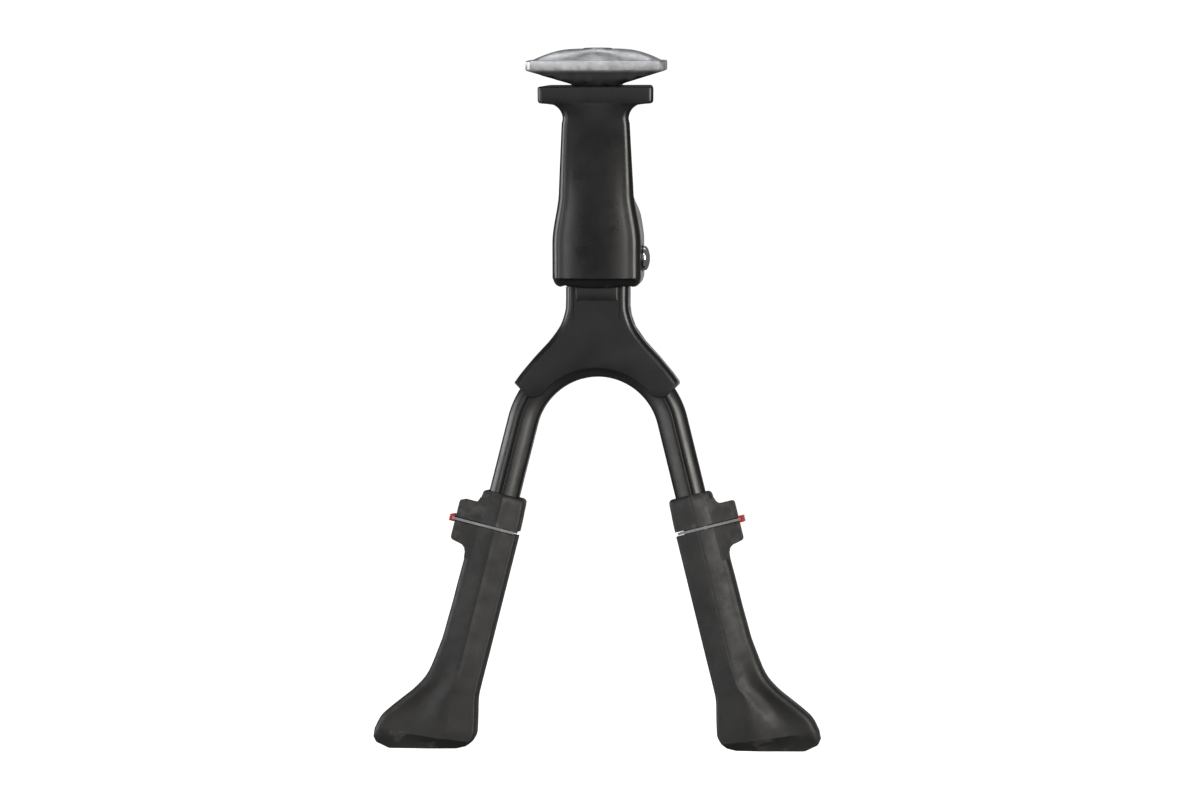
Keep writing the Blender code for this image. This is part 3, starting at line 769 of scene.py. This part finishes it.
def make_yoke_plate(paint):
    """Front pressing: flat web, rolled outer edges, a thin crotch edge and the raised stop pad."""
    right = yoke_outline()
    points = right + [(-x, z, r) for x, z, r in reversed(right[:-1])]
    front = -TUBE_DEEP - GAP - 2.5
    back = -0.4
    area = sum((b[0] - a[0]) * (b[1] + a[1]) for a, b in zip(points, points[1:] + points[:1]))
    inward = 1 if area > 0 else -1
    rings = [[(x, back, z) for x, z, _ in points]]
    edge_steps = 7
    for step in range(edge_steps + 1):
        angle = math.radians(90 * step / edge_steps)
        flat = offset_outline(points, lambda p: inward * p[2] * (1 - math.cos(angle)))
        rings.append([(x, front + p[2] * (1 - math.sin(angle)), z) for (x, z), p in zip(flat, points)])
    bm = bmesh.new()
    skin(bm, rings)
    plate = finish_mesh("yoke_plate_pressing", bm, paint, LEG_MATRIX, sharp=50)

    cutters = [arch_band(-TUBE_DEEP - GAP, 5, TUBE_WIDE + GAP)]
    for side in SIDES.values():
        low, high = sorted((side * GROOVE_NEAR, side * GROOVE_FAR))
        cutters.append(prism([(low, -8), (high, -8), (high, -27.5), ((low + high) / 2, -30), (low, -27.5)],
                             front - 2, front + 1.1))
    cutters.append(prism(rectangle(-12.2, 12.2, -30, -10), front + 2.5, 6))
    carve(plate, cutters, matrix=LEG_MATRIX)

    pad_rings = []
    for rise, inset in ((-0.8, 0.0), (1.25, 0.0), (1.4, 0.35), (1.6, 1.2)):
        outline = rectangle(-PAD_HALF + inset, PAD_HALF - inset, PAD_LOW + inset, NECK_TOP - inset)
        pad_rings.append([(x, front - rise, z) for x, z in outline])
    pad = bmesh.new()
    skin(pad, pad_rings)
    carve(plate, [pad], "UNION", LEG_MATRIX)
    relief = prism(rectangle(-RELIEF_HALF, RELIEF_HALF, RELIEF_LOW, -10), front - 1.05, 5)
    carve(plate, [relief], matrix=LEG_MATRIX)
    round_edges(plate, 0.2, 2, 40)
    adopt(plate, "legs", "black_paint", "yoke_plate")


# ---------------------------------------------------------------- legs

def tube_ring(shrink):
    """Leg section (across, depth): two sloping front lobes and a groove, which a shrunk one lacks."""
    wide = TUBE_WIDE - shrink
    deep = TUBE_DEEP - shrink
    if shrink:
        groove = [(x, -deep) for x in (-0.5, 0.4, 0.8, 1.3, 1.8, 2.2, 3.0)]
    else:
        groove = [(-0.5, -deep + 0.12), (0.4, -deep), (0.85, -deep + 0.12), (1.15, -deep + 0.75),
                  (1.45, -deep + 0.75), (1.75, -deep + 0.12), (2.3, -deep + 0.05)]
    left = [(-wide, -deep + 3.4), (-wide + 0.25, -deep + 2.5), (-wide + 0.9, -deep + 1.75),
            (-wide + 1.9, -deep + 1.6), (-3.2, -deep + 1.0)]
    right = [(4.1, -deep + 0.75), (wide - 1.5, -deep + 1.7), (wide - 0.5, -deep + 2.5), (wide, -deep + 3.4)]
    back = [(x + wide - 2.2, y + deep - 2.2) for x, y in arc((0, 0), 2.2, 0, 90, 5)]
    back += [(-x, y) for x, y in reversed(back)]
    return left + groove + right + back


def make_leg_frame(paint):
    """One tube bent into the arch and both legs."""
    stations = []
    turns = 60
    straights = 5
    for index in range(straights):
        along = lerp(LEG_END, ARCH_V * math.cos(SPLAY) + 2, index / straights)
        stations.append((on_leg(-1, 0, along), (-math.cos(SPLAY), math.sin(SPLAY))))
    for index in range(turns + 1):
        angle = math.pi - SPLAY - (math.pi - 2 * SPLAY) * index / turns
        outward = (math.cos(angle), math.sin(angle))
        stations.append(((ARCH_R * outward[0], ARCH_R * outward[1] - ARCH_V), outward))
    for point, outward in reversed(stations[:straights]):
        stations.append(((-point[0], point[1]), (-outward[0], outward[1])))
    rings = []
    for shrink, order in ((0.0, stations), (TUBE_WALL, list(reversed(stations)))):
        section = tube_ring(shrink)
        for point, outward in order:
            rings.append([(point[0] + s * outward[0], y, point[1] + s * outward[1]) for s, y in section])
    bm = bmesh.new()
    skin(bm, rings, loop=True)
    tube = finish_mesh("leg_frame_tube", bm, paint, LEG_MATRIX, sharp=42)
    notches = []
    for side in SIDES.values():
        for index in range(NOTCH_COUNT):
            middle = SLIT_AT + NOTCH_STEP * index
            for deep in ((-9, -5.0), (5.3, 9)):
                notches.append(leg_cutter(side, (TUBE_WIDE - 2.6, TUBE_WIDE + 2),
                                          (middle - NOTCH_HALF, middle + NOTCH_HALF), deep))
    carve(tube, notches, matrix=LEG_MATRIX)
    adopt(tube, "legs", "black_paint", "leg_frame")


# ---------------------------------------------------------------- feet

def foot_rows():
    """The foot's lines from collar to sole, for the right side of the legs' plane.

    Each row holds the inner end, the ridge and the outer end of its front face, how deep the outer panel
    is hollowed, and how far the whole face is tucked back.
    """
    rows = []
    for drop, inset, tuck in ((0.0, 1.6, 1.5), (0.4, 0.8, 0.8), (1.2, 0.2, 0.25), (3.0, 0.0, 0.0)):
        along = SLEEVE_TOP + drop
        rows.append((on_leg(1, -COLLAR_IN + inset, along), on_leg(1, RIDGE_AT, along),
                     on_leg(1, COLLAR_OUT - inset, along), 0.0, tuck))
    widths = [(120, 9.9), (140, 10.6), (172, 11.0), (190, 11.4), (199, 12.2)]
    levels = 22
    for index in range(1, levels + 1):
        along = lerp(SLEEVE_TOP + 3.0, SHOE_TOP, index / levels)
        inner = -lerp(COLLAR_IN, SLEEVE_HALF, smoothstep(0, 3, index))
        rows.append((on_leg(1, inner, along), on_leg(1, RIDGE_AT, along),
                     on_leg(1, table(widths, along), along), 0.0, 0.0))
    shoe = [rows[-1],
            ((55.6, -203.0), (66.9, -201.1), (79.6, -196.0), 1.0, 0.0),
            ((56.8, -209.0), (71.2, -206.7), (85.4, -203.0), 1.8, 0.0),
            ((57.0, -216.5), (75.9, -212.7), (91.5, -208.0), 2.0, 0.0),
            ((57.2, -222.0), (80.1, -218.2), (97.3, -212.6), 1.8, 0.0),
            ((57.6, -226.0), (83.4, -222.5), (102.0, -217.0), 1.3, 0.0),
            ((59.4, -229.4), (86.0, -225.9), (105.2, -223.0), 0.6, 0.0)]
    facet = [((60.4, -230.4), (86.2, -228.2), (106.0, -227.2), 0.2, 1.6),
             ((62.0, -231.6), (86.4, -230.6), (104.8, -229.8), 0.0, 2.6),
             ((66.0, -232.6), (86.5, -232.6), (99.0, -232.6), 0.0, 3.1)]
    lines = [catmull([row[part] for row in shoe], 4) for part in range(3)]
    reliefs = catmull([row[3:] for row in shoe], 4)
    for inner, ridge, outer, relief in list(zip(*lines, reliefs))[1:]:
        rows.append((inner, ridge, outer, max(0.0, relief[0]), max(0.0, relief[1])))
    return rows + facet


def foot_ring(side, row):
    """A closed section of the foot: rounded corners, a ridge on the front and a flat back."""
    inner, ridge, outer, hollow, tuck = row
    corner = 1.5
    wide = BAND_ROUND
    flank = FOOT_DEEP - 2.6 - tuck
    edge = FOOT_DEEP - BAND_DROP - tuck
    crest = FOOT_DEEP - tuck
    to_ridge = math.dist(inner, ridge)
    width = to_ridge + math.dist(ridge, outer)
    spread = smoothstep(FLARE_TOP, FLARE_LOW, -ridge[1])
    bend = lerp(1.0, 0.6, spread)
    shoulder = crest - BEND_FALL * spread

    def at(across, depth):
        if across <= to_ridge:
            part = across / to_ridge
            x, z = lerp(inner[0], ridge[0], part), lerp(inner[1], ridge[1], part)
        else:
            part = (across - to_ridge) / (width - to_ridge)
            x, z = lerp(ridge[0], outer[0], part), lerp(ridge[1], outer[1], part)
        return (side * x, depth, z)

    def rounding(radius):
        return [(radius * (1 - math.cos(a)), radius * (1 - math.sin(a)))
                for a in (math.radians(18 * k) for k in range(6))]

    quarter = rounding(corner)
    ring = [at(a, -flank + b) for a, b in quarter]
    for part in (0.25, 0.5, 0.75, 0.94):
        ring.append(at(lerp(corner, to_ridge, part * bend), -lerp(flank, crest, part)))
    ring.append(at(lerp(corner, to_ridge, lerp(0.94 * bend, 1.0, 0.5)), -lerp(crest, shoulder, 0.4)))
    ring.append(at(to_ridge, -shoulder + 0.08))
    for part in (0.06, 0.16, 0.3, 0.45, 0.6, 0.75, 0.9):
        dip = hollow * math.sin(math.pi * part) ** 1.2
        ring.append(at(lerp(to_ridge, width - wide, part), -lerp(shoulder, edge, part ** 1.3) + dip))
    ring += [at(width - a, -edge + b) for a, b in reversed(rounding(wide))]
    back = FOOT_DEEP - 0.2
    ring += [at(width - a, back - b) for a, b in quarter]
    ring += [at(width * part, back) for part in (0.7, 0.5, 0.3)]
    ring += [at(a, back - b) for a, b in reversed(quarter)]
    return ring


def lug_shape(side):
    """The clip's lug on the outside of the sleeve, with concave fillets at its root."""
    outline = [(7.0, LUG_HIGH - 3.5), (10.0, LUG_HIGH - 3.0), (10.6, LUG_HIGH - 1.3),
               (11.6, LUG_HIGH - 0.2), (12.8, LUG_HIGH), (LUG_OUT - 1.3, LUG_HIGH),
               (LUG_OUT - 0.3, LUG_HIGH + 0.4), (LUG_OUT, LUG_HIGH + 1.3), (LUG_OUT, LUG_LOW - 1.3),
               (LUG_OUT - 0.3, LUG_LOW - 0.3), (LUG_OUT - 1.2, LUG_LOW + 0.3), (13.2, LUG_LOW + 1.4),
               (11.8, LUG_LOW + 2.5), (11.0, LUG_LOW + 4.5), (10.7, LUG_LOW + 7.3), (7.0, LUG_LOW + 7.3)]
    return prism([on_leg(side, s, t) for s, t in outline], -8.0, 8.4)


def make_foot(name, side, nylon):
    """Foot with its lug, pocket, clip slit and sole slot, cut level at the ground."""
    bm = bmesh.new()
    skin(bm, [foot_ring(side, row) for row in foot_rows()])
    foot = finish_mesh(f"{name}_foot_moulding", bm, nylon, LEG_MATRIX)
    carve(foot, [lug_shape(side)], "UNION", LEG_MATRIX)

    slit = (SLIT_AT - SLIT_WIDE / 2, SLIT_AT + SLIT_WIDE / 2)
    reach = TUBE_WIDE + GAP
    depth = TUBE_DEEP + GAP
    slot = sorted(side * x for x in SOLE_SLOT_X)
    cutters = [leg_cutter(side, (-reach, reach), (SLEEVE_TOP - 20, POCKET_END), (-depth, depth)),
               leg_cutter(side, (-15, 25), slit, (-15, -6.4)),
               leg_cutter(side, (-15, 25), slit, (6.4, 15)),
               leg_cutter(side, (-15, -6), slit, (-15, 15)),
               prism(rectangle(*slot, *SOLE_SLOT_Z), -15, -6.9)]
    carve(foot, cutters, matrix=LEG_MATRIX)
    ground = PIVOT_Z - SOLE_V * math.cos(LEAN)
    carve(foot, [prism(rectangle(-130, 130, ground - 30, ground), -60, 30)])
    round_edges(foot, 0.3)
    adopt(foot, f"{name}_foot_body", "black_nylon", f"{name}_foot")


def make_clip_tab(name, side, red):
    """Pull tab with grip ribs on its outer face."""
    ribs = 3
    grip = 0.45
    outline = [(TAB_INNER, SLIT_AT + TAB_HALF), (TAB_INNER, SLIT_AT - TAB_HALF)]
    steps = 36
    for index in range(steps + 1):
        part = index / steps
        wave = 0.5 - 0.5 * math.cos(2 * math.pi * ribs * part)
        outline.append((TAB_OUTER - grip + grip * wave, SLIT_AT - TAB_HALF + 2 * TAB_HALF * part))
    tab = finish_mesh(f"{name}_tab_ribbed", prism([on_leg(side, s, t) for s, t in outline], -8.3, 8.3),
                      red, LEG_MATRIX)
    round_edges(tab, 0.3, 3, 50)
    adopt(tab, f"{name}_clip_body", "red_plastic", f"{name}_clip_tab")


# ---------------------------------------------------------------- spring

def sweep(points, radius, count):
    """Rings round a path, turned as little as possible from one to the next."""
    rings = []
    normal = None
    for index, point in enumerate(points):
        ahead = points[min(index + 1, len(points) - 1)]
        behind = points[max(index - 1, 0)]
        tangent = (ahead - behind).normalized()
        if normal is None:
            normal = tangent.orthogonal()
        normal = (normal - tangent * normal.dot(tangent)).normalized()
        other = tangent.cross(normal)
        rings.append([tuple(point + (normal * a + other * b)) for a, b in circle(radius, count)])
    return rings


def make_spring(steel):
    """Close-wound extension spring with a loop round each pin."""
    hook = Matrix.Rotation(-LEAN, 4, "X") @ Vector((0, HOOK_Y, -HOOK_V))
    reach = Vector((0, hook.y, PIVOT_Z + hook.z - ANCHOR_Z))
    length = reach.length
    seat = PIN_R + GAP + WIRE_R
    per_turn = 28
    points = [Vector((0, seat * math.sin(a), seat * math.cos(a)))
              for a in (math.radians(d) for d in range(-120, 151, 10))]
    top = -seat - COIL_LEAD
    bottom = -length + seat + COIL_LEAD
    steps = COIL_TURNS * per_turn
    for index in range(steps + 1):
        angle = 2 * math.pi * index / per_turn + math.pi / 2
        points.append(Vector((COIL_R * math.cos(angle), COIL_R * math.sin(angle),
                              lerp(top, bottom, index / steps))))
    points += [Vector((0, seat * math.sin(a), -length + seat * math.cos(a)))
               for a in (math.radians(d) for d in range(30, 301, 10))]
    bm = bmesh.new()
    skin(bm, sweep(points, WIRE_R, 10))
    turn = Matrix.Rotation(math.atan2(hook.y, -reach.z), 4, "X")
    spring = finish_mesh("return_spring_wound", bm, steel, Matrix.Translation((0, 0, ANCHOR_Z)) @ turn)
    adopt(spring, "spring", "dark_steel", "return_spring")
    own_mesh(spring)


# ---------------------------------------------------------------- carried-over parts

def finish_cad(material, bevel, *nodes):
    """Give CAD nodes that stay visible their material and a fine edge."""
    for name in nodes:
        obj = frame["nodes"][name]
        obj.data.materials.clear()
        obj.data.materials.append(material)
        obj.data.shade_smooth()
        obj.data.set_sharp_from_angle(angle=math.radians(EDGE_ANGLE))
        if bevel:
            round_edges(obj, bevel)


# ---------------------------------------------------------------- stage

FOCUS = Vector((0.00057, 0.0, -0.14898))
VIEW_DISTANCE = 2.5
VIEW_ELEVATION = math.radians(5.0)
VIEW_AZIMUTH = 0.07804
VIEW_ROLL = -0.00316
LENS = 158.0
FLOOR_FRONT = -6.0
FLOOR_BACK = 3.0
FLOOR_HALF = 8.0
BACKDROP_TOP = 6.0
WORLD_STRENGTH = 0.14
LIGHTS = (
    ("light_left", (-2.45, -0.45, 0.1), (1.3, 1.5), 34.0, (0.97, 0.98, 1.0)),
    ("light_left_front", (-1.5, -1.9, -0.1), (0.8, 1.4), 9.0, (1.0, 0.99, 0.97)),
    ("light_right", (1.65, -1.9, 0.2), (1.4, 1.5), 50.0, (1.0, 0.96, 0.90)),
    ("light_front", (0.0, -3.4, 0.9), (3.0, 2.0), 7.5, (1.0, 1.0, 1.0)),
    ("light_upper", (0.0, -2.4, 2.0), (1.2, 0.6), 8.0, (1.0, 1.0, 1.0)),
    ("light_top", (0.0, 0.6, 2.3), (1.6, 0.8), 8.0, (1.0, 1.0, 1.0)),
    ("light_back", (0.35, 2.8, -0.05), (0.5, 1.4), 1.3, (1.0, 1.0, 1.0)),
)


def make_stage():
    """Pale floor that curves up into a backdrop, low enough for feet that are slid right out."""
    ground = (PIVOT_Z - SOLE_V * math.cos(LEAN)) * MM - JOINTS["left_foot_slide"]["range_m"][1]
    profile = [(FLOOR_FRONT, 0.0), (FLOOR_BACK, 0.0)]
    profile += [(FLOOR_BACK + math.sin(a), 1.0 - math.cos(a))
                for a in (math.radians(9 * k) for k in range(1, 11))]
    profile.append((FLOOR_BACK + 1.0, BACKDROP_TOP))
    bm = bmesh.new()
    rows = [[bm.verts.new((x, y, ground + z)) for x in (-FLOOR_HALF, FLOOR_HALF)] for y, z in profile]
    for low, high in zip(rows, rows[1:]):
        bm.faces.new((low[0], low[1], high[1], high[0]))
    mesh = bpy.data.meshes.new("backdrop")
    bm.to_mesh(mesh)
    bm.free()
    mesh.shade_smooth()
    backdrop = bpy.data.objects.new("backdrop", mesh)
    bpy.context.scene.collection.objects.link(backdrop)
    white = Shader("backdrop_white", (0.90, 0.90, 0.90), 0.0, 0.9)
    white.set("Emission Color", (1.0, 1.0, 1.0, 1.0))
    white.set("Emission Strength", 0.8)
    mesh.materials.append(white.mat)
    backdrop.visible_glossy = False
    backdrop.visible_diffuse = False


def make_world(strength):
    """White behind the object, and dimmer where it lights and is reflected."""
    world = bpy.data.worlds.new("studio")
    world.use_nodes = True
    tree = world.node_tree
    seen = tree.nodes["Background"]
    lit = tree.nodes.new("ShaderNodeBackground")
    for background, amount in ((seen, 1.0), (lit, strength)):
        background.inputs["Color"].default_value = (1.0, 1.0, 1.0, 1.0)
        background.inputs["Strength"].default_value = amount
    mix = tree.nodes.new("ShaderNodeMixShader")
    tree.links.new(tree.nodes.new("ShaderNodeLightPath").outputs["Is Camera Ray"], mix.inputs["Fac"])
    tree.links.new(lit.outputs["Background"], mix.inputs[1])
    tree.links.new(seen.outputs["Background"], mix.inputs[2])
    tree.links.new(mix.outputs["Shader"], tree.nodes["World Output"].inputs["Surface"])
    bpy.context.scene.world = world


def make_light(name, place, size, power, color):
    """An area light that faces the middle of the object and isn't seen itself."""
    light = bpy.data.lights.new(name, "AREA")
    light.shape = "RECTANGLE"
    light.size, light.size_y = size
    light.energy = power
    light.color = color
    obj = bpy.data.objects.new(name, light)
    obj.location = place
    obj.rotation_euler = (FOCUS - Vector(place)).to_track_quat("-Z", "Y").to_euler()
    obj.visible_camera = False
    bpy.context.scene.collection.objects.link(obj)


def make_camera():
    """The front view, from slightly above and slightly to the right, with a slight roll."""
    level = math.cos(VIEW_ELEVATION)
    forward = Vector((-math.sin(VIEW_AZIMUTH) * level, math.cos(VIEW_AZIMUTH) * level,
                      -math.sin(VIEW_ELEVATION)))
    right = forward.cross(Vector((0, 0, 1))).normalized()
    up = right.cross(forward)
    rolled_right = right * math.cos(VIEW_ROLL) + up * math.sin(VIEW_ROLL)
    rolled_up = up * math.cos(VIEW_ROLL) - right * math.sin(VIEW_ROLL)
    camera = bpy.data.objects.new("camera", bpy.data.cameras.new("camera"))
    camera.data.lens = LENS
    camera.data.sensor_width = 36.0
    camera.data.clip_end = 50.0
    turn = Matrix((rolled_right, rolled_up, -forward)).transposed().to_4x4()
    camera.matrix_world = Matrix.Translation(FOCUS - forward * VIEW_DISTANCE) @ turn
    bpy.context.scene.collection.objects.link(camera)
    bpy.context.scene.camera = camera


def main():
    paint = black_paint()
    cast = cast_aluminium()
    nylon = black_nylon()
    chrome = metal("bright_chrome_look", (0.80, 0.80, 0.82), 0.13, 0.04, 260.0, 0.05)
    zinc = metal("zinc_steel_look", (0.66, 0.67, 0.69), 0.28, 0.07, 320.0, 0.12)
    steel = metal("dark_steel_look", (0.30, 0.30, 0.31), 0.40, 0.08, 360.0, 0.15)
    bronze = metal("bronze_look", (0.55, 0.36, 0.16), 0.40, 0.08, 300.0, 0.12)
    washer_nylon = plastic("white_nylon_look", (0.75, 0.74, 0.70), 0.50)
    red = plastic("red_plastic_look", (0.55, 0.02, 0.02), 0.40)

    make_housing(paint)
    make_pivot_screw(chrome)
    make_clamp_plate(cast)
    make_clamp_bolt(zinc)
    make_yoke_plate(paint)
    make_leg_frame(paint)
    for name, side in SIDES.items():
        make_foot(name, side, nylon)
        make_clip_tab(name, side, red)
    make_spring(steel)

    finish_cad(paint, 0.25, "yoke_channel")
    finish_cad(steel, 0.2, "pivot_stub", "spring_anchor_pin", "spring_hook_pin", "lock_washer")
    finish_cad(washer_nylon, 0.15, "pivot_washer_left", "pivot_washer_right")
    finish_cad(bronze, 0.15, "pivot_bush_left", "pivot_bush_right")
    finish_cad(zinc, 0.15, "left_clip", "right_clip")

    make_stage()
    bpy.context.scene.view_settings.view_transform = "Standard"
    make_world(WORLD_STRENGTH)
    for light in LIGHTS:
        make_light(*light)
    make_camera()


main()
